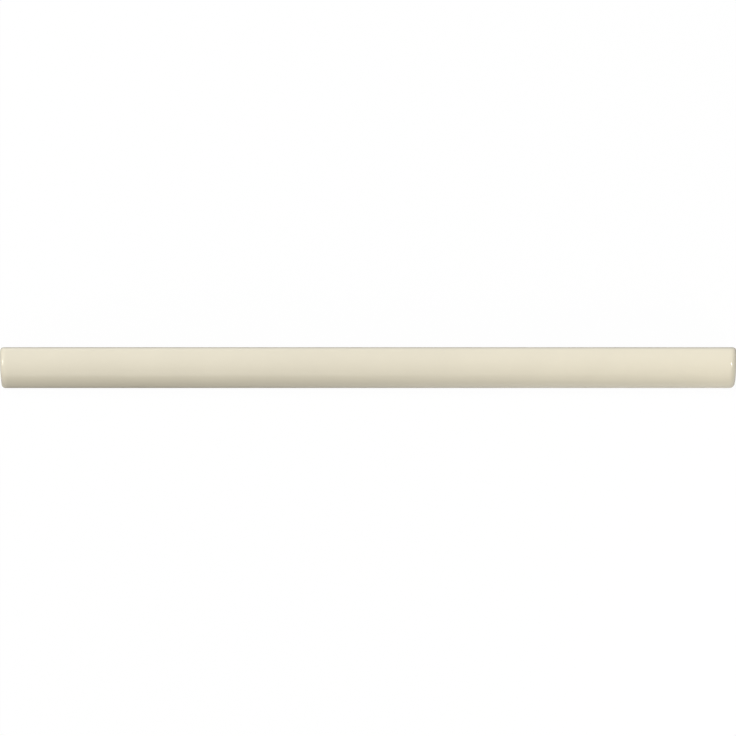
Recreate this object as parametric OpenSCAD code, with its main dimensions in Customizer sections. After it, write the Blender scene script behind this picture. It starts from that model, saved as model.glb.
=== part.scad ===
// Quarter-round corner trim tile: one fired clay strip with a glazed quarter-round face,
// two flat beds at a right angle behind it, and edges rolled over before firing.
//
// X runs along the strip. The strip lies on one bed, on the plane Z = 0, and the other bed
// stands upright and faces +Y. The origin is the middle of the footprint.

/* [Strip] */
// Length of the strip, from one end face to the other
strip_length = 228.6; // [100:0.1:305]
// Width of each bed, which is also how far the face stands out from it
bed_width = 12.7; // [9:0.1:20]

/* [Rolled edges] */
// Radius of the toes, the long edges where the face rolls over onto a bed
toe_roll = 0.9; // [0.5:0.1:1.4]
// Radius of the curved edge at each end, where the face rolls over onto the end face
end_roll = 2; // [1:0.1:3]
// Radius of the short straight edges, where an end face meets a bed
corner_roll = 1.2; // [0.6:0.1:1.6]

/* [Back] */
// Width that is clipped off each bed at the heel, to clear the corner of the wall
heel_clip = 2.4; // [1:0.1:3]
// Width of a keying groove at its mouth
key_width = 1.4; // [0.8:0.1:1.6]
// Depth of a keying groove
key_depth = 0.4; // [0.2:0.05:0.5]
// Distance from one keying groove to the next
key_pitch = 2.5; // [2:0.1:4]
// Least width of flat bed that is left between a keying groove and the heel or the toe
key_margin = 0.8; // [0.5:0.1:2]

/* [Hidden] */
$fn = 96;

// The heel is the line where the planes of the two beds cross, and the axis of the face
heel_y = bed_width / 2;

// The circle of a toe rests on its bed and stands a hair out of the arc of the face, so that
// the two arcs cross at a small angle: circles that only touch leave a sliver between them
toe_reach = bed_width - toe_roll;
toe_proud = 0.002;
face_radius = norm([toe_reach, toe_roll]) + toe_roll - toe_proud;

// As many grooves as fit stand in the middle of the flat that is left between heel and toe
flat_width = toe_reach - heel_clip;
key_count = 1 + floor((flat_width - 2 * key_margin - key_width) / key_pitch);
first_key = (heel_clip + toe_reach - (key_count - 1) * key_pitch) / 2;

// How far a cutting shape runs past what it cuts
past = 2;

// A quarter of a disc, between the two axes
module quarter_disc(radius) {
    intersection() {
        circle(r = radius);
        square(radius + past);
    }
}

// What the toe of the first bed takes off the corner of the quarter disc
module toe_cut() {
    toe = [toe_reach, toe_roll];
    outside = face_radius + past;
    difference() {
        polygon([toe, [toe_reach, -past], [outside, -past], outside / norm(toe) * toe]);
        translate(toe) circle(r = toe_roll);
    }
}

// A keying groove of the first bed, whose root is narrower than its mouth by its own depth
module key_cut() {
    half_mouth = key_width / 2;
    half_root = half_mouth - key_depth / 2;
    polygon([
        [-half_mouth, -past],
        [half_mouth, -past],
        [half_mouth, 0],
        [half_root, key_depth],
        [-half_root, key_depth],
        [-half_mouth, 0]
    ]);
}

// All that is taken off along the first bed
module bed_cuts() {
    toe_cut();
    for (i = [0 : key_count - 1])
        translate([first_key + i * key_pitch, 0]) key_cut();
}

// The end view of the strip, with the heel at the origin and the beds along +X and +Y
module section() {
    difference() {
        quarter_disc(face_radius);
        bed_cuts();
        mirror([1, -1]) bed_cuts();
        polygon([[-past, -past], [heel_clip + past, -past], [-past, heel_clip + past]]);
    }
}

// A rectangle as long as the strip, with both corners of its outer long side rolled
module rolled_ends(reach, roll) {
    half_length = strip_length / 2;
    translate([0, roll - half_length])
        square([reach, strip_length - 2 * roll]);
    translate([0, -half_length])
        square([reach - roll, strip_length]);
    for (side = [0, 1])
        mirror([0, side])
            translate([reach - roll, half_length - roll])
                quarter_disc(roll);
}

// All that lies in front of the first bed, with its two short edges rolled
module bed_side() {
    reach = face_radius + past;
    rotate([90, 0, 90])
        linear_extrude(2 * reach, center = true)
            translate([reach, 0])
                mirror([1, 0]) rolled_ends(reach, corner_roll);
}

module corner_trim() {
    color("cornsilk")
        translate([0, heel_y, 0])
            rotate([90, 0, -90])
                intersection() {
                    linear_extrude(strip_length, center = true) section();
                    rotate_extrude(angle = 90) rolled_ends(face_radius, end_roll);
                    bed_side();
                    mirror([1, -1]) bed_side();
                }
}

corner_trim();
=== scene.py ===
"""The looks of a quarter-round corner trim tile: a glazed face rolled over onto bare clay beds.

The strip lies on one bed, on the plane Z = 0. X runs along it, the other bed stands upright and
faces +Y, and the glazed quarter-round face looks up and towards -Y. Lengths are in metres.
"""

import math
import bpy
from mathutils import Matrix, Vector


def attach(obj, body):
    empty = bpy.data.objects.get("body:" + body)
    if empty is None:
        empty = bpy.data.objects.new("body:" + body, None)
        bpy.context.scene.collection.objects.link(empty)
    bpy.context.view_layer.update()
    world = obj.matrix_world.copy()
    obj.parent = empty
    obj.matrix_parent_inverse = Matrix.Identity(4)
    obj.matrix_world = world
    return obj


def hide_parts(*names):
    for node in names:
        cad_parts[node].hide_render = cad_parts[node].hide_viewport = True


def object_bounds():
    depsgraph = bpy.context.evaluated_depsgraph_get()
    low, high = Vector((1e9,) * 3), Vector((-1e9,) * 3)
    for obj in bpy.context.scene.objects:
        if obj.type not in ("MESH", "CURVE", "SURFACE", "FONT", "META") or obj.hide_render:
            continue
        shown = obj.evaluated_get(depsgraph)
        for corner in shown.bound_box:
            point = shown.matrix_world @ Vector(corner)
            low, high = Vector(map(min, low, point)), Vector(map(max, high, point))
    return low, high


bl_info = {
    "name": "Corner trim tile",
    "version": (1, 0, 0),
    "blender": (4, 5, 0),
    "location": "View3D > Sidebar > Trim tile",
    "description": "Makes a glazed quarter-round corner trim tile and the stage it lies on",
    "category": "Add Mesh",
}

import bpy
import numpy as np
from mathutils import Matrix, Vector, noise

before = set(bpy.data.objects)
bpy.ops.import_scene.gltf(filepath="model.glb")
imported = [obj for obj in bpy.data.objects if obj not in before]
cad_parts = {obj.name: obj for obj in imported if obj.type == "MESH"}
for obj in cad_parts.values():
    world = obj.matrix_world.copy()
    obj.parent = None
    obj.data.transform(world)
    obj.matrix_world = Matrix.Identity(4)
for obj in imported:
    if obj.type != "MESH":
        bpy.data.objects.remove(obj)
CAD_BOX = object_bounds()

BODY = "root"
NODE = "corner_trim"
PIECE = "trim_strip"
MM = 0.001
HALF_LENGTH = (CAD_BOX[1].x - CAD_BOX[0].x) / 2
BED_WIDTH = CAD_BOX[1].z - CAD_BOX[0].z
HEEL_Y = BED_WIDTH / 2

# What the materials on the mesh are numbered
GLAZE_INDEX, CLAY_INDEX = 0, 1

# The attributes of the mesh that the materials read
THICKNESS = "glaze_thickness"
MIST = "glaze_mist"

# The noise of each effect: how many of its features lie in a metre, how many finer layers it has,
# and how strong each layer is against the one before
CLAY_CLOUDS = (90.0, 3.0, 0.55)
SPECK_CHOICE = (1400.0, 2.0, 0.5)
DIE_STREAKS = (1800.0, 3.0, 0.6)
KILN_DUST = (240.0, 5.0, 0.6)
GLAZE_MIST = (1900.0, 3.0, 0.6)
GLAZE_POOLS = (55.0, 3.0, 0.55)
GLAZE_CLOUDS = (260.0, 3.0, 0.6)
GLAZE_RIPPLE = (420.0, 2.0, 0.4)
GLAZE_PORES = (2600.0, 2.0, 0.5)

# The grain's scale stands apart from its layers, as the clay's shader group takes it as an input
GRAIN_SCALE = 2500.0
GRAIN_LAYERS = (4.0, 0.65)

# How many of the cells that the specks of the clay stand in lie in a metre
SPECK_CELL_SCALE = 900.0

# Nearly all values of a noise lie in this span
NOISE_SPAN = (0.3, 0.7)

# How far each bump stands out
GRAIN_HEIGHT = 0.05 * MM
STREAK_HEIGHT = 0.03 * MM
MIST_HEIGHT = 0.02 * MM
RIPPLE_HEIGHT = 0.006 * MM
PORE_HEIGHT = 0.0006 * MM

GLAZE_IOR = 1.45

# How far the strip may stand out of the CAD box before the script stops
BOX_SLACK = 0.01 * MM


# Settings of the add-on

class StripSizes(bpy.types.PropertyGroup):
    """Sizes of the fired strip"""

    toe_roll: bpy.props.FloatProperty(
        name="Toe roll", description="Radius of the long edges", default=0.9 * MM, unit="LENGTH")
    toe_roll_end: bpy.props.FloatProperty(
        name="Toe roll at the ends", description="Radius of a toe where it reaches an end face",
        default=1.2 * MM, unit="LENGTH")
    end_roll_left: bpy.props.FloatProperty(
        name="Left end roll", description="Radius where the middle of the face rolls over the left end",
        default=1.95 * MM, unit="LENGTH")
    end_roll_right: bpy.props.FloatProperty(
        name="Right end roll",
        description="Radius where the middle of the face rolls over the right end",
        default=2.05 * MM, unit="LENGTH")
    floor_toe_share_left: bpy.props.FloatProperty(
        name="Left end roll by the floor toe",
        description="Share of its radius that the left end roll keeps at the floor toe",
        subtype="FACTOR", default=0.57, min=0, max=1)
    floor_toe_share_right: bpy.props.FloatProperty(
        name="Right end roll by the floor toe",
        description="Share of its radius that the right end roll keeps at the floor toe",
        subtype="FACTOR", default=0.82, min=0, max=1)
    wall_toe_share: bpy.props.FloatProperty(
        name="End roll by the wall toe",
        description="Share of its radius that an end roll keeps at the wall toe",
        subtype="FACTOR", default=1.0, min=0, max=1)
    corner_roll: bpy.props.FloatProperty(
        name="Corner roll", description="Radius where an end meets a bed",
        default=1.2 * MM, unit="LENGTH")
    heel_clip: bpy.props.FloatProperty(
        name="Heel clip", description="Width clipped off each bed at the heel",
        default=2.4 * MM, unit="LENGTH")
    heel_round: bpy.props.FloatProperty(
        name="Heel rounding",
        description="Width over which the edges of the clipped heel are worn round",
        default=0.5 * MM, unit="LENGTH")
    key_width: bpy.props.FloatProperty(
        name="Key width", description="Width of a keying groove at its mouth",
        default=1.4 * MM, unit="LENGTH")
    key_depth: bpy.props.FloatProperty(
        name="Key depth", description="Depth of a keying groove", default=0.4 * MM, unit="LENGTH")
    key_pitch: bpy.props.FloatProperty(
        name="Key pitch", description="Distance between keying grooves",
        default=2.5 * MM, unit="LENGTH")
    key_margin: bpy.props.FloatProperty(
        name="Key margin", description="Least flat bed beside the outer grooves",
        default=0.8 * MM, unit="LENGTH")
    glaze_depth: bpy.props.FloatProperty(
        name="Glaze depth", description="Step from the clay up to the glaze",
        default=0.12 * MM, unit="LENGTH")
    glaze_line: bpy.props.FloatProperty(
        name="Glaze line",
        description="Angle on a toe at which the glaze ends, from level down to the bed",
        default=math.radians(-68), unit="ROTATION")
    glaze_sway: bpy.props.FloatProperty(
        name="Glaze sway", description="How far the glaze line wanders up and down a toe",
        default=math.radians(9), unit="ROTATION")
    glaze_lap: bpy.props.FloatProperty(
        name="Glaze lap", description="How far the glaze runs down an end face",
        default=0.9 * MM, unit="LENGTH")
    glaze_waver: bpy.props.FloatProperty(
        name="Glaze waver", description="How far the edge of the glaze wanders on an end face",
        default=0.4 * MM, unit="LENGTH")
    mist_reach: bpy.props.FloatProperty(
        name="Mist reach", description="How far specks of glaze are strewn over the clay past its edge",
        default=1.6 * MM, unit="LENGTH")
    waviness: bpy.props.FloatProperty(
        name="Waviness", description="How far the fired face sinks from true",
        default=0.03 * MM, unit="LENGTH")


class FinishLook(bpy.types.PropertyGroup):
    """Colours and gloss of the glaze and the clay"""

    glaze_colour: bpy.props.FloatVectorProperty(
        name="Glaze", description="Colour of the glaze where it lies thick",
        subtype="COLOR", size=3, min=0, max=1, default=(0.768, 0.720, 0.594))
    glaze_thin_colour: bpy.props.FloatVectorProperty(
        name="Thin glaze", description="Colour of the glaze where it runs thin over the clay",
        subtype="COLOR", size=3, min=0, max=1, default=(0.70, 0.67, 0.555))
    glaze_roughness: bpy.props.FloatProperty(
        name="Glaze roughness", description="Roughness of the glaze",
        subtype="FACTOR", default=0.14, min=0, max=1)
    clay_colour: bpy.props.FloatVectorProperty(
        name="Clay", description="Colour of the bare fired clay",
        subtype="COLOR", size=3, min=0, max=1, default=(0.66, 0.56, 0.43))
    clay_dark_colour: bpy.props.FloatVectorProperty(
        name="Clay specks", description="Colour of the specks in the clay",
        subtype="COLOR", size=3, min=0, max=1, default=(0.36, 0.27, 0.19))
    dust_colour: bpy.props.FloatVectorProperty(
        name="Kiln dust", description="Colour of the pale dust that clings to the clay",
        subtype="COLOR", size=3, min=0, max=1, default=(0.80, 0.75, 0.67))


class StageLook(bpy.types.PropertyGroup):
    """The floor, the light and the camera"""

    floor_reach: bpy.props.FloatProperty(
        name="Floor reach", description="Half the width of the floor", default=6.0, unit="LENGTH")
    floor_colour: bpy.props.FloatVectorProperty(
        name="Floor", description="Colour of the floor as it is seen",
        subtype="COLOR", size=3, min=0, max=1, default=(0.95, 0.95, 0.95))
    floor_glow: bpy.props.FloatProperty(
        name="Floor glow", description="Share of plain white in the floor as the camera sees it",
        subtype="FACTOR", default=0.965, min=0, max=1)
    floor_gloss_glow: bpy.props.FloatProperty(
        name="Floor glow in gloss",
        description="Share of plain white in the floor as the glaze reflects it",
        subtype="FACTOR", default=0.14, min=0, max=1)
    # Painted shade in the floor as the glaze reflects it: its colour and glow are darkened towards the
    # left end, in full and not at all at the two ends of the span below
    floor_painted_shade: bpy.props.FloatProperty(
        name="Floor dimming",
        description="Share of the floor's light that is lost in the gloss by the left end",
        subtype="FACTOR", default=0.62, min=0, max=1)
    floor_painted_shade_ends: bpy.props.FloatVectorProperty(
        name="Floor dimming ends",
        description="Where along the strip the floor is dimmed in full and not at all",
        size=2, default=(-0.07, 0.05), unit="LENGTH")
    floor_bounce: bpy.props.FloatProperty(
        name="Floor bounce", description="Share of the light that the floor throws back onto the strip",
        subtype="FACTOR", default=0.04, min=0, max=1)
    sky_strength: bpy.props.FloatProperty(
        name="Sky", description="Strength of the even light from all round", default=0.25, min=0)
    key_place: bpy.props.FloatVectorProperty(
        name="Key place", description="Middle of the large soft lamp overhead", size=3,
        default=(-0.45, 0.6, 1.35), unit="LENGTH")
    key_size: bpy.props.FloatVectorProperty(
        name="Key size", description="Width and height of the soft lamp overhead", size=2,
        default=(0.8, 0.8), unit="LENGTH")
    key_power: bpy.props.FloatProperty(
        name="Key power", description="Power of the soft lamp overhead, in watts", default=19.0, min=0)
    fill_place: bpy.props.FloatVectorProperty(
        name="Fill place", description="Middle of the soft lamp low in front", size=3,
        default=(0.0, -1.2, 0.2), unit="LENGTH")
    fill_size: bpy.props.FloatVectorProperty(
        name="Fill size", description="Width and height of the soft lamp in front", size=2,
        default=(0.4, 0.4), unit="LENGTH")
    fill_power: bpy.props.FloatProperty(
        name="Fill power", description="Power of the soft lamp in front, in watts", default=2.5, min=0)
    right_place: bpy.props.FloatVectorProperty(
        name="Right lamp place", description="Middle of the lamp that glints on the right end", size=3,
        default=(0.2105, -0.138, 0.118), unit="LENGTH")
    right_size: bpy.props.FloatVectorProperty(
        name="Right lamp size", description="Width and height of the lamp at the right", size=2,
        default=(0.12, 0.014), unit="LENGTH")
    right_power: bpy.props.FloatProperty(
        name="Right lamp power", description="Power of the lamp at the right, in watts",
        default=0.15, min=0)
    left_place: bpy.props.FloatVectorProperty(
        name="Left lamp place", description="Middle of the lamp that glints on the left end", size=3,
        default=(-0.456, -0.188, 0.0956), unit="LENGTH")
    left_size: bpy.props.FloatVectorProperty(
        name="Left lamp size", description="Width and height of the lamp at the left", size=2,
        default=(0.17, 0.05), unit="LENGTH")
    left_power: bpy.props.FloatProperty(
        name="Left lamp power", description="Power of the lamp at the left, in watts",
        default=0.52, min=0)
    lamp_colour: bpy.props.FloatVectorProperty(
        name="Lamp colour", description="Warm white of the lamps in front and at the ends",
        subtype="COLOR", size=3, min=0, max=1, default=(1.0, 0.955, 0.83))
    camera_height: bpy.props.FloatProperty(
        name="Camera height", description="Height of the camera above the floor",
        default=2.0, unit="LENGTH")
    camera_aim: bpy.props.FloatVectorProperty(
        name="Camera aim", description="Place on the floor that the camera looks straight down on",
        size=2, default=(-0.06 * MM, -0.09 * MM), unit="LENGTH")
    frame_pixels: bpy.props.IntProperty(
        name="Frame", description="Width of the picture in pixels", default=736)
    focal_pixels: bpy.props.FloatProperty(
        name="Focal length", description="Focal length of the camera in pixels", default=6410.0)


# Small forms that the mesh is drawn with

def smooth(edge, value):
    """0 below 0, 1 above edge, and a soft rise between."""
    t = np.clip(value / edge, 0.0, 1.0)
    return t * t * (3 - 2 * t)


def soft_rise(value, blend):
    """0 below 0 and value above it, with the bend between them rounded over blend."""
    return 0.5 * (value + np.sqrt(value ** 2 + blend ** 2))


def wander(x, y, scale, seed):
    """Smooth noise from -1 to 1 at a place on the strip."""
    return noise.noise(Vector((x / scale, y / scale, seed)))


def drop(roll, depth):
    """How far a roll of that radius has dropped at that depth before the end."""
    if depth >= roll:
        return 0.0
    return roll - math.sqrt(max(roll ** 2 - (roll - depth) ** 2, 0.0))


# The mesh of the strip

class Outline:
    """The end view of the strip at any station along it.

    Points are (u, v): u runs from the heel along the floor bed and v up the upright bed. A ring
    starts at the heel, runs along the floor bed, over its toe, over the face and back down the
    upright bed. With each point go the thickness of the glaze and the density of its mist there.
    """

    bed_steps = 60
    clay_toe_steps = 7
    glaze_toe_steps = 10
    half_face_steps = 40
    heel_steps = 8

    # The glaze rises to its full depth within this angle of its edge
    rim_angle = math.radians(9)
    # The end roll changes from its radius by the toe to its full radius within this angle
    roll_change = math.radians(15)
    # Each side of the strip reads its own part of the noise
    side_seeds = (3.0, 8.0)
    sway_length = 6 * MM
    # The bed steps back by the depth of the glaze within this width before a toe
    bed_step_width = 0.6 * MM
    # Half the turn from a bed to the clipped heel
    half_heel_turn = math.radians(22.5)
    # The direction from the heel to the middle of the face
    face_middle = math.radians(45)

    def __init__(self, sizes):
        self.s = sizes
        toe_reach = BED_WIDTH - sizes.toe_roll
        self.face_radius = math.hypot(toe_reach, sizes.toe_roll) + sizes.toe_roll
        flat = toe_reach - sizes.heel_clip
        count = 1 + int((flat - 2 * sizes.key_margin - sizes.key_width) / sizes.key_pitch)
        first = (sizes.heel_clip + toe_reach - (count - 1) * sizes.key_pitch) / 2
        self.keys = [first + i * sizes.key_pitch for i in range(count)]

        # The points from first_glazed to last_glazed carry glaze, those from first_toe to last_toe
        # belong to the toes and the face
        half_count = self.bed_steps + self.clay_toe_steps + self.glaze_toe_steps + self.half_face_steps
        top = 2 * half_count - 2
        self.first_toe = self.bed_steps
        self.last_toe = top - self.first_toe
        self.first_glazed = self.bed_steps + self.clay_toe_steps
        self.last_glazed = top - self.first_glazed
        self.count = top + 1 + self.heel_steps

    def groove_height(self, u):
        """How far the bed stands back from its plane at u."""
        s = self.s
        height = np.zeros_like(u)
        for centre in self.keys:
            inside = s.key_width / 2 - np.abs(u - centre)
            height = np.maximum(height, s.key_depth * smooth(s.key_depth, inside))
        return height

    def half(self, depth, end_roll, toe_share, line):
        """A bed, its toe and half the face as on the floor side, at a depth before the end."""
        s = self.s
        toe_end_roll = toe_share * end_roll
        toe_inset = drop(toe_end_roll, depth)
        bed_inset = drop(s.corner_roll, depth)
        toe_roll = s.toe_roll + (s.toe_roll_end - s.toe_roll) * toe_inset / toe_end_roll
        radius = self.face_radius - toe_inset
        toe_height = bed_inset + toe_roll
        toe_u = math.sqrt((radius - toe_roll) ** 2 - toe_height ** 2)
        lean = math.atan2(toe_height, toe_u)

        # The bed, from the worn edge of the clipped heel to the toe
        clip = s.heel_clip + bed_inset * math.tan(self.half_heel_turn)
        u = np.linspace(clip - s.heel_round, toe_u, self.bed_steps)
        recess = s.glaze_depth * smooth(self.bed_step_width, u - toe_u + self.bed_step_width)
        height = np.maximum(self.groove_height(u), bed_inset) + recess
        bed = np.stack([u, height + soft_rise(clip - u, s.heel_round)], 1)
        bed_mist = np.clip(1 - (toe_u - u) / s.mist_reach, 0, 1)

        # The toe: bare clay up to the glaze line, then the rolled rim of the glaze
        low = np.linspace(-math.pi / 2, line, self.clay_toe_steps + 1, endpoint=False)[1:]
        high = np.linspace(line, lean, self.glaze_toe_steps)
        angle = np.concatenate([low, high])
        reach = toe_roll - s.glaze_depth * (1 - smooth(self.rim_angle, angle - line))
        toe = np.stack([toe_u + reach * np.cos(angle), toe_height + reach * np.sin(angle)], 1)
        toe_thickness = smooth(lean - line, angle - line)

        # Half of the face, which sinks further than the toe does towards the end
        angle = np.linspace(lean, self.face_middle, self.half_face_steps + 1)[1:]
        more = drop(end_roll, depth) - toe_inset
        reach = radius - more * smooth(self.roll_change, angle - lean)
        face = np.stack([reach * np.cos(angle), reach * np.sin(angle)], 1)

        points = np.concatenate([bed, toe, face])
        thickness = np.concatenate([np.zeros(len(bed)), toe_thickness, np.ones(len(face))])
        mist = np.concatenate([bed_mist, np.ones(len(toe) + len(face))])
        return points, thickness, mist

    def ring(self, x):
        """Points, glaze thickness and mist all round the strip at x."""
        s = self.s
        depth = HALF_LENGTH - abs(x)
        end_roll, floor_toe_share = s.end_roll_right, s.floor_toe_share_right
        if x < 0:
            end_roll, floor_toe_share = s.end_roll_left, s.floor_toe_share_left
        lines = [s.glaze_line + s.glaze_sway * wander(x, 0, self.sway_length, seed)
                 for seed in self.side_seeds]
        floor_side = self.half(depth, end_roll, floor_toe_share, lines[0])
        wall_side = self.half(depth, end_roll, s.wall_toe_share, lines[1])
        wall_points = wall_side[0][-2::-1, ::-1]
        heel = np.linspace(wall_points[-1], floor_side[0][0], self.heel_steps + 2)[1:-1]
        bare = np.zeros(self.heel_steps)
        points = np.concatenate([floor_side[0], wall_points, heel])
        thickness = np.concatenate([floor_side[1], wall_side[1][-2::-1], bare])
        mist = np.concatenate([floor_side[2], wall_side[2][-2::-1], bare])
        return points, thickness, mist


class StripMesh:
    """The whole strip as one closed mesh, with the bare clay and the glaze on their own faces."""

    end_steps = 26
    middle_steps = 130
    lap_steps = 5
    inner_steps = 9
    # The width of the rounded step down from the glaze to the bare end face
    rim_width = 0.12 * MM
    # How thick the glaze is where it starts to lap over an end face, as a share of its full depth
    lap_thickness = 0.6
    # The end face sinks below its bare edges within this width
    dip_reach = 3 * MM
    end_wander_length = 1.6 * MM
    end_seed = 4.0
    # The waver of the face has a slow and a quick part, and fades out within this height of a bed
    slow_length, quick_length = 34 * MM, 11 * MM
    mean_sink, slow_share, quick_share = 0.5, 0.38, 0.12
    slow_seed, quick_seed = 1.5, 6.5
    waver_fade = 2 * MM

    def __init__(self, sizes):
        self.s = sizes
        self.outline = Outline(sizes)
        self.points, self.faces, self.finish = [], [], []
        self.thickness, self.mist = [], []

    def stations(self):
        """Where rings are drawn along X: close together at the ends and evenly between them."""
        roll = max(self.s.end_roll_left, self.s.end_roll_right)
        turns = [math.pi / 2 * i / self.end_steps for i in range(self.end_steps + 1)]
        right = [HALF_LENGTH - roll * (1 - math.sin(turn)) for turn in turns]
        middle = np.linspace(-right[0], right[0], self.middle_steps + 1)[1:-1]
        return [-x for x in reversed(right)] + [float(x) for x in middle] + right

    def sunk(self, x, u, v):
        """A point of the face, sunk a little below true as a fired face is, and never above it."""
        round_face = math.atan2(v, u) * BED_WIDTH
        slow = self.slow_share * wander(x, round_face, self.slow_length, self.slow_seed)
        quick = self.quick_share * wander(x, round_face, self.quick_length, self.quick_seed)
        fade = min(1.0, min(u, v) / self.waver_fade)
        sink = self.s.waviness * (self.mean_sink - slow - quick) * fade / math.hypot(u, v)
        return u * (1 - sink), v * (1 - sink)

    def add_point(self, x, u, v, thickness, mist):
        self.points.append((x, HEEL_Y - u, v))
        self.thickness.append(thickness)
        self.mist.append(mist)

    def add_sides(self):
        """The beds, the toes and the face, ring by ring, and the first and the last ring."""
        outline = self.outline
        rings = []
        for x in self.stations():
            points, thickness, mist = outline.ring(x)
            rings.append((x, points))
            for j, (u, v) in enumerate(points):
                if outline.first_toe <= j <= outline.last_toe:
                    u, v = self.sunk(x, u, v)
                self.add_point(x, u, v, thickness[j], mist[j])
        for i in range(len(rings) - 1):
            a, b = i * outline.count, (i + 1) * outline.count
            for j in range(outline.count):
                k = (j + 1) % outline.count
                self.faces.append((a + j, b + j, b + k, a + k))
                self.finish.append(GLAZE_INDEX if self.glazed(j) else CLAY_INDEX)
        return (rings[0], 0, -1), (rings[-1], (len(rings) - 1) * outline.count, 1)

    def glazed(self, j):
        """Whether the face from point j to the next one carries glaze."""
        return self.outline.first_glazed <= j < self.outline.last_glazed

    def add_end(self, x, ring, base, side):
        """An end face in rings that close on a middle point, with the glaze lapping over its rim."""
        s = self.s
        middle = ring.mean(0)
        dip = s.glaze_depth / 2
        steps = self.lap_steps + 1 + self.inner_steps
        for step in range(1, steps):
            start = len(self.points)
            for j, edge in enumerate(ring):
                span = float(np.linalg.norm(middle - edge))
                uneven = wander(edge[0], edge[1], self.end_wander_length, self.end_seed + side)
                lap = s.glaze_lap + s.glaze_waver * uneven
                if step <= self.lap_steps:
                    away = lap * step / self.lap_steps
                else:
                    away = lap + self.rim_width
                    away += (span - away) * (step - self.lap_steps - 1) / self.inner_steps
                u, v = edge + (middle - edge) * away / span
                covered = self.outline.first_glazed <= j <= self.outline.last_glazed
                if covered and step <= self.lap_steps:
                    self.add_point(x, u, v, self.lap_thickness * (1 - step / self.lap_steps), 1.0)
                elif covered:
                    self.add_point(x - side * dip, u, v, 0.0, max(0.0, 1 - (away - lap) / s.mist_reach))
                else:
                    self.add_point(x - side * dip * float(smooth(self.dip_reach, away)), u, v, 0.0, 0.0)
            for j in range(len(ring)):
                k = (j + 1) % len(ring)
                quad = (base + j, base + k, start + k, start + j)
                self.faces.append(quad if side < 0 else quad[::-1])
                lapped = step <= self.lap_steps and self.glazed(j)
                self.finish.append(GLAZE_INDEX if lapped else CLAY_INDEX)
            base = start
        centre = len(self.points)
        self.add_point(x - side * dip, middle[0], middle[1], 0.0, 0.0)
        for j in range(len(ring)):
            k = (j + 1) % len(ring)
            tri = (base + j, base + k, centre)
            self.faces.append(tri if side < 0 else tri[::-1])
            self.finish.append(CLAY_INDEX)

    def build(self):
        """Makes the mesh object."""
        for (x, ring), base, side in self.add_sides():
            self.add_end(x, ring, base, side)
        mesh = bpy.data.meshes.new(PIECE)
        mesh.from_pydata(self.points, [], self.faces)
        mesh.polygons.foreach_set("material_index", self.finish)
        mesh.polygons.foreach_set("use_smooth", [True] * len(self.faces))
        for name, values in ((THICKNESS, self.thickness), (MIST, self.mist)):
            mesh.attributes.new(name, "FLOAT", "POINT").data.foreach_set("value", values)
        mesh.validate()
        mesh.update()
        strip = bpy.data.objects.new(PIECE, mesh)
        bpy.context.scene.collection.objects.link(strip)
        return strip


# Building shader nodes

def new_group(name, inputs, outputs):
    """An empty shader node group with the named sockets, and its two end nodes."""
    group = bpy.data.node_groups.new(name, "ShaderNodeTree")
    for socket, kind, default in inputs:
        made = group.interface.new_socket(name=socket, in_out="INPUT", socket_type=kind)
        made.default_value = default
    for socket, kind in outputs:
        group.interface.new_socket(name=socket, in_out="OUTPUT", socket_type=kind)
    return group, group.nodes.new("NodeGroupInput"), group.nodes.new("NodeGroupOutput")


def add_noise(tree, vector, scale, layers, roughness):
    """A noise texture read at vector, with its scale a socket or a number."""
    node = tree.nodes.new("ShaderNodeTexNoise")
    node.inputs["Detail"].default_value = layers
    node.inputs["Roughness"].default_value = roughness
    tree.links.new(vector, node.inputs["Vector"])
    if isinstance(scale, (int, float)):
        node.inputs["Scale"].default_value = scale
    else:
        tree.links.new(scale, node.inputs["Scale"])
    return node.outputs["Fac"]


def add_range(tree, value, low, high, to_low=0.0, to_high=1.0):
    """value carried from one range to another, and held at its ends."""
    node = tree.nodes.new("ShaderNodeMapRange")
    tree.links.new(value, node.inputs["Value"])
    sockets = ("From Min", "From Max", "To Min", "To Max")
    for socket, number in zip(sockets, (low, high, to_low, to_high)):
        node.inputs[socket].default_value = number
    return node.outputs["Result"]


def add_math(tree, operation, a, b):
    """Two sockets or numbers put through a Math node."""
    node = tree.nodes.new("ShaderNodeMath")
    node.operation = operation
    for socket, value in zip(node.inputs, (a, b)):
        if isinstance(value, (int, float)):
            socket.default_value = value
        else:
            tree.links.new(value, socket)
    return node.outputs[0]


def add_mix(tree, factor, a, b):
    """Two colours mixed by a factor."""
    node = tree.nodes.new("ShaderNodeMix")
    node.data_type = "RGBA"
    sockets = [socket for socket in node.inputs if socket.enabled]
    for socket, value in zip(sockets, (factor, a, b)):
        if isinstance(value, (int, float)):
            socket.default_value = value
        elif isinstance(value, bpy.types.NodeSocket):
            tree.links.new(value, socket)
        else:
            socket.default_value = (*value, 1.0)
    return next(socket for socket in node.outputs if socket.enabled)


def add_shade(tree, colour, factor):
    """A colour made lighter or darker by a factor."""
    node = tree.nodes.new("ShaderNodeVectorMath")
    node.operation = "SCALE"
    tree.links.new(colour, node.inputs[0])
    tree.links.new(factor, node.inputs["Scale"])
    return node.outputs[0]


def add_attribute(tree, name):
    """A number that the mesh carries at each of its points."""
    node = tree.nodes.new("ShaderNodeAttribute")
    node.attribute_name = name
    return node.outputs["Fac"]


def add_group(tree, group, values):
    """The group as a node of a material, with the given inputs."""
    node = tree.nodes.new("ShaderNodeGroup")
    node.node_tree = group
    for name, value in values.items():
        if isinstance(value, bpy.types.NodeSocket):
            tree.links.new(value, node.inputs[name])
        else:
            node.inputs[name].default_value = value
    return node


def add_bump(tree, height, distance, below=None):
    """A bump node, on top of another if one is given."""
    node = tree.nodes.new("ShaderNodeBump")
    node.inputs["Strength"].default_value = 1.0
    node.inputs["Distance"].default_value = distance
    tree.links.new(height, node.inputs["Height"])
    if below:
        tree.links.new(below, node.inputs["Normal"])
    return node.outputs["Normal"]


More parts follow.
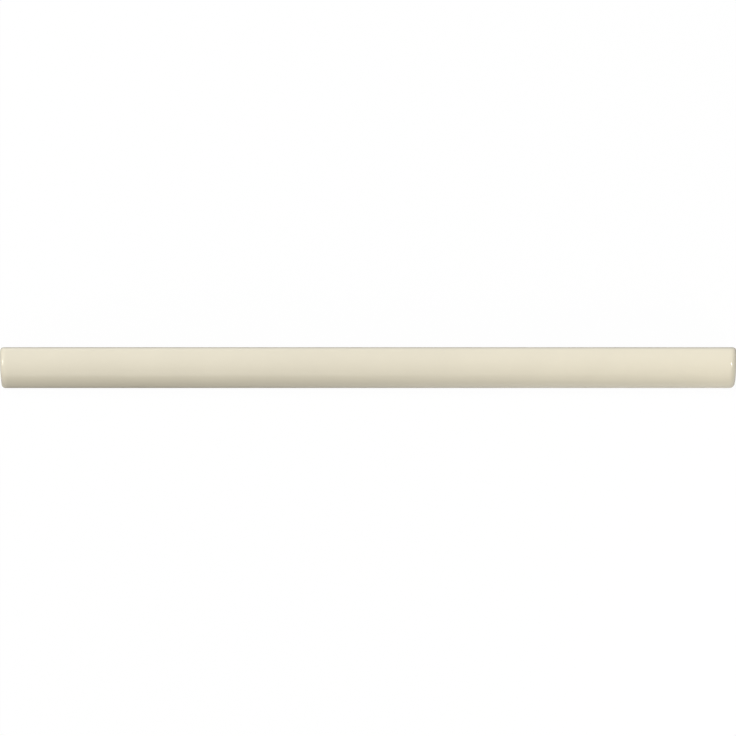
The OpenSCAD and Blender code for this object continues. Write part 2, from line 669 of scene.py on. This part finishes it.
def new_material(name):
    """A material with an empty Principled shader, its tree and the object's own coordinates."""
    material = bpy.data.materials.new(name)
    material.use_nodes = True
    tree = material.node_tree
    shader = tree.nodes["Principled BSDF"]
    place = tree.nodes.new("ShaderNodeTexCoord").outputs["Object"]
    return material, tree, shader, place


# Materials of the strip

def fired_clay_group():
    """Grain and specks of fired clay, also seen faintly through the glaze."""
    cloud_tones, grain_tones = (0.86, 1.08), (0.93, 1.05)
    speck_rim, speck_core = 0.16, 0.06
    speck_choice = (0.60, 0.66)
    group, start, end = new_group(
        "Fired clay",
        [("Vector", "NodeSocketVector", (0, 0, 0)),
         ("Clay", "NodeSocketColor", (0.6, 0.5, 0.4, 1)),
         ("Specks", "NodeSocketColor", (0.3, 0.2, 0.1, 1)),
         ("Grain scale", "NodeSocketFloat", GRAIN_SCALE)],
        [("Color", "NodeSocketColor"), ("Height", "NodeSocketFloat"), ("Speck mask", "NodeSocketFloat")])
    place = start.outputs["Vector"]
    grain = add_noise(group, place, start.outputs["Grain scale"], *GRAIN_LAYERS)
    clouds = add_noise(group, place, *CLAY_CLOUDS)

    # Specks stand in some of the cells only
    cells = group.nodes.new("ShaderNodeTexVoronoi")
    cells.inputs["Scale"].default_value = SPECK_CELL_SCALE
    group.links.new(place, cells.inputs["Vector"])
    near = add_range(group, cells.outputs["Distance"], speck_rim, speck_core)
    chosen = add_range(group, add_noise(group, place, *SPECK_CHOICE), *speck_choice)
    specks = add_math(group, "MULTIPLY", near, chosen)

    tone = add_range(group, clouds, *NOISE_SPAN, *cloud_tones)
    fine = add_range(group, grain, *NOISE_SPAN, *grain_tones)
    lit = add_shade(group, start.outputs["Clay"], add_math(group, "MULTIPLY", tone, fine))
    group.links.new(add_mix(group, specks, lit, start.outputs["Specks"]), end.inputs["Color"])
    group.links.new(grain, end.inputs["Height"])
    group.links.new(specks, end.inputs["Speck mask"])
    return group


def glaze_material(look, clay):
    """Cream gloss glaze: faintly mottled, rippled like fired glass, and thinner at its edge."""
    pool_tones, cloud_tones = (0.985, 1.012), (0.995, 1.004)
    full_thickness = 0.8
    speck_veil = 0.06
    least_rough, most_rough = 0.9 * look.glaze_roughness, 1.15 * look.glaze_roughness
    material, tree, shader, place = new_material("Cream gloss glaze")
    body = add_group(tree, clay, {
        "Vector": place, "Clay": (*look.clay_colour, 1), "Specks": (*look.clay_dark_colour, 1)})

    # Thick and thin glaze, in soft clouds
    pooled = add_noise(tree, place, *GLAZE_POOLS)
    cloud = add_noise(tree, place, *GLAZE_CLOUDS)
    tone = add_math(tree, "MULTIPLY", add_range(tree, pooled, *NOISE_SPAN, *pool_tones),
                    add_range(tree, cloud, *NOISE_SPAN, *cloud_tones))
    thick = add_range(tree, add_attribute(tree, THICKNESS), 0.0, full_thickness)
    colour = add_mix(tree, thick, look.glaze_thin_colour, look.glaze_colour)
    veil = add_math(tree, "MULTIPLY", body.outputs["Speck mask"], speck_veil)
    colour = add_mix(tree, veil, add_shade(tree, colour, tone), look.clay_dark_colour)
    tree.links.new(colour, shader.inputs["Base Color"])

    rough = add_range(tree, cloud, *NOISE_SPAN, least_rough, most_rough)
    tree.links.new(rough, shader.inputs["Roughness"])
    shader.inputs["IOR"].default_value = GLAZE_IOR
    ripple = add_bump(tree, add_noise(tree, place, *GLAZE_RIPPLE), RIPPLE_HEIGHT)
    pores = add_bump(tree, add_noise(tree, place, *GLAZE_PORES), PORE_HEIGHT, ripple)
    tree.links.new(pores, shader.inputs["Normal"])
    return material


def clay_material(look, clay):
    """Bare fired clay: matt, grainy, streaked along the strip by the die, and misted with glaze."""
    streak_stretch = (0.04, 1.0, 1.0)
    streak_tones = (0.93, 1.05)
    dust_span, dust_cover = (0.52, 0.72), 0.45
    mist_lift, mist_edge = (-0.28, 0.06), (0.47, 0.52)
    matt_span, matt_roughness = (0.2, 0.8), (0.82, 0.96)
    mist_gloss = 0.5
    material, tree, shader, place = new_material("Bare fired clay")
    body = add_group(tree, clay, {
        "Vector": place, "Clay": (*look.clay_colour, 1), "Specks": (*look.clay_dark_colour, 1)})

    # Streaks that the die drew along the strip
    stretch = tree.nodes.new("ShaderNodeMapping")
    stretch.inputs["Scale"].default_value = streak_stretch
    tree.links.new(place, stretch.inputs["Vector"])
    drag = add_noise(tree, stretch.outputs["Vector"], *DIE_STREAKS)
    colour = add_shade(tree, body.outputs["Color"], add_range(tree, drag, *NOISE_SPAN, *streak_tones))
    dust = add_range(tree, add_noise(tree, place, *KILN_DUST), *dust_span, 0.0, dust_cover)
    colour = add_mix(tree, dust, colour, look.dust_colour)

    # Specks of glaze, closer together towards the edge of the glaze
    strewn = add_noise(tree, place, *GLAZE_MIST)
    near = add_range(tree, add_attribute(tree, MIST), 0.0, 1.0, *mist_lift)
    mist = add_range(tree, add_math(tree, "ADD", strewn, near), *mist_edge)
    colour = add_mix(tree, mist, colour, look.glaze_thin_colour)
    tree.links.new(colour, shader.inputs["Base Color"])

    matt = add_range(tree, drag, *matt_span, *matt_roughness)
    gloss = add_math(tree, "MULTIPLY", mist, mist_gloss)
    tree.links.new(add_math(tree, "SUBTRACT", matt, gloss), shader.inputs["Roughness"])
    normal = add_bump(tree, drag, STREAK_HEIGHT)
    normal = add_bump(tree, body.outputs["Height"], GRAIN_HEIGHT, normal)
    tree.links.new(add_bump(tree, mist, MIST_HEIGHT, normal), shader.inputs["Normal"])
    return material


# The stage

def add_seen(tree, straight=1.0, mirrored=1.0):
    """straight on what the camera sees, mirrored on what shows in a gloss or through glass, else 0."""
    path = tree.nodes.new("ShaderNodeLightPath")
    other = add_math(tree, "MAXIMUM", path.outputs["Is Glossy Ray"], path.outputs["Is Transmission Ray"])
    return add_math(tree, "MAXIMUM", add_math(tree, "MULTIPLY", path.outputs["Is Camera Ray"], straight),
                    add_math(tree, "MULTIPLY", other, mirrored))


def floor_material(look):
    """Pale matt floor that shows plain white to the camera and keeps the strip's shadow.

    Towards the left, the colour and the glow that the glaze reflects of it are darkened: painted shade,
    as if less light fell on it there.
    """
    material = bpy.data.materials.new("Pale floor")
    material.use_nodes = True
    tree = material.node_tree
    tree.nodes.clear()
    place = tree.nodes.new("ShaderNodeSeparateXYZ")
    tree.links.new(tree.nodes.new("ShaderNodeTexCoord").outputs["Object"], place.inputs[0])
    # Painted shade: what the glaze reflects of the floor, its colour and its glow, is darkened towards
    # the left end
    gloss_unshaded = add_range(tree, place.outputs["X"], *look.floor_painted_shade_ends, 1 - look.floor_painted_shade, 1.0)
    gloss_glow = add_math(tree, "MULTIPLY", gloss_unshaded, look.floor_gloss_glow)
    diffuse = tree.nodes.new("ShaderNodeBsdfDiffuse")
    colour = add_mix(tree, add_seen(tree, mirrored=gloss_unshaded), (look.floor_bounce,) * 3, look.floor_colour)
    tree.links.new(colour, diffuse.inputs["Color"])
    glow = tree.nodes.new("ShaderNodeEmission")
    mix = tree.nodes.new("ShaderNodeMixShader")
    tree.links.new(add_seen(tree, look.floor_glow, gloss_glow), mix.inputs["Fac"])
    tree.links.new(diffuse.outputs[0], mix.inputs[1])
    tree.links.new(glow.outputs[0], mix.inputs[2])
    out = tree.nodes.new("ShaderNodeOutputMaterial")
    tree.links.new(mix.outputs[0], out.inputs["Surface"])
    return material


def make_floor(look):
    """A wide plane under the strip."""
    reach = look.floor_reach
    mesh = bpy.data.meshes.new("floor")
    corners = [(-reach, -reach, 0), (reach, -reach, 0), (reach, reach, 0), (-reach, reach, 0)]
    mesh.from_pydata(corners, [], [(0, 1, 2, 3)])
    floor = bpy.data.objects.new("floor", mesh)
    bpy.context.scene.collection.objects.link(floor)
    mesh.materials.append(floor_material(look))


def make_sky(look):
    """Even light from all round, plain white where the camera or a reflection sees it."""
    world = bpy.data.worlds.new("Studio")
    bpy.context.scene.world = world
    world.use_nodes = True
    tree = world.node_tree
    tree.nodes.clear()
    mix = tree.nodes.new("ShaderNodeMixShader")
    tree.links.new(add_seen(tree), mix.inputs["Fac"])
    for socket, strength in ((mix.inputs[1], look.sky_strength), (mix.inputs[2], 1.0)):
        background = tree.nodes.new("ShaderNodeBackground")
        background.inputs["Color"].default_value = (1, 1, 1, 1)
        background.inputs["Strength"].default_value = strength
        tree.links.new(background.outputs[0], socket)
    out = tree.nodes.new("ShaderNodeOutputWorld")
    tree.links.new(mix.outputs[0], out.inputs["Surface"])


def make_lamp(name, place, size, power, colour=(1, 1, 1), glints=False):
    """A lamp that faces the middle of the strip, and shows in its gloss if it glints.

    Its width lies across the strip's Y axis, as the bend of an end roll does, so that the roll draws
    a wide lamp together into a round dot.
    """
    data = bpy.data.lights.new(name, "AREA")
    data.shape = "RECTANGLE"
    data.size, data.size_y = size
    data.energy = power
    data.color = colour
    lamp = bpy.data.objects.new(name, data)
    away = Vector(place).normalized()
    across = Vector((0, 1, 0)).cross(away).normalized()
    turn = Matrix((across, away.cross(across), away)).transposed()
    lamp.matrix_world = Matrix.Translation(place) @ turn.to_4x4()
    lamp.visible_glossy = glints
    bpy.context.scene.collection.objects.link(lamp)


def make_lamps(look):
    """Two soft lamps, overhead and in front, and a small lamp off each end that glints on its roll."""
    make_lamp("key", look.key_place, look.key_size, look.key_power)
    make_lamp("fill", look.fill_place, look.fill_size, look.fill_power, look.lamp_colour)
    make_lamp("right_lamp", look.right_place, look.right_size, look.right_power, look.lamp_colour,
              glints=True)
    make_lamp("left_lamp", look.left_place, look.left_size, look.left_power, look.lamp_colour,
              glints=True)


def make_camera(look):
    """A camera straight above the strip, with the upright bed at the top of the picture."""
    data = bpy.data.cameras.new("camera")
    data.lens = look.focal_pixels * data.sensor_width / look.frame_pixels
    camera = bpy.data.objects.new("camera", data)
    camera.location = (*look.camera_aim, look.camera_height)
    bpy.context.scene.collection.objects.link(camera)
    bpy.context.scene.camera = camera


# Operators and panel

class TRIM_OT_strip(bpy.types.Operator):
    """Make the glazed strip and dress it"""

    bl_idname = "trim.strip"
    bl_label = "Glazed strip"

    def execute(self, context):
        look = context.scene.trim_finish
        strip = StripMesh(context.scene.trim_sizes).build()
        clay = fired_clay_group()
        strip.data.materials.append(glaze_material(look, clay))
        strip.data.materials.append(clay_material(look, clay))
        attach(strip, BODY)
        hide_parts(NODE)
        for low, high, corner in zip(*CAD_BOX, zip(*strip.bound_box)):
            if min(corner) < low - BOX_SLACK or max(corner) > high + BOX_SLACK:
                raise RuntimeError("the strip stands out of the packed model's box")
        return {"FINISHED"}


class TRIM_OT_stage(bpy.types.Operator):
    """Make the floor, the light and the camera"""

    bl_idname = "trim.stage"
    bl_label = "Stage"

    def execute(self, context):
        if PIECE not in context.scene.objects:
            raise RuntimeError("the stage is set round the strip, so the strip is made first")
        look = context.scene.trim_stage
        make_floor(look)
        make_sky(look)
        make_lamps(look)
        make_camera(look)
        context.scene.view_settings.view_transform = "Standard"
        return {"FINISHED"}


class TRIM_PT_panel(bpy.types.Panel):
    """Lists what makes the corner trim tile"""

    bl_label = "Corner trim tile"
    bl_idname = "TRIM_PT_panel"
    bl_space_type = "VIEW_3D"
    bl_region_type = "UI"
    bl_category = "Trim tile"

    def draw(self, context):
        for operator in (TRIM_OT_strip, TRIM_OT_stage):
            self.layout.operator(operator.bl_idname)
        for group in (context.scene.trim_sizes, context.scene.trim_finish, context.scene.trim_stage):
            box = self.layout.box()
            for name in group.bl_rna.properties.keys():
                if name not in ("rna_type", "name"):
                    box.prop(group, name)


CLASSES = (StripSizes, FinishLook, StageLook, TRIM_OT_strip, TRIM_OT_stage, TRIM_PT_panel)


def register():
    for cls in CLASSES:
        bpy.utils.register_class(cls)
    bpy.types.Scene.trim_sizes = bpy.props.PointerProperty(type=StripSizes)
    bpy.types.Scene.trim_finish = bpy.props.PointerProperty(type=FinishLook)
    bpy.types.Scene.trim_stage = bpy.props.PointerProperty(type=StageLook)


def unregister():
    del bpy.types.Scene.trim_stage
    del bpy.types.Scene.trim_finish
    del bpy.types.Scene.trim_sizes
    for cls in reversed(CLASSES):
        bpy.utils.unregister_class(cls)


def main():
    register()
    bpy.ops.trim.strip()
    bpy.ops.trim.stage()


if __name__ == "__main__":
    main()
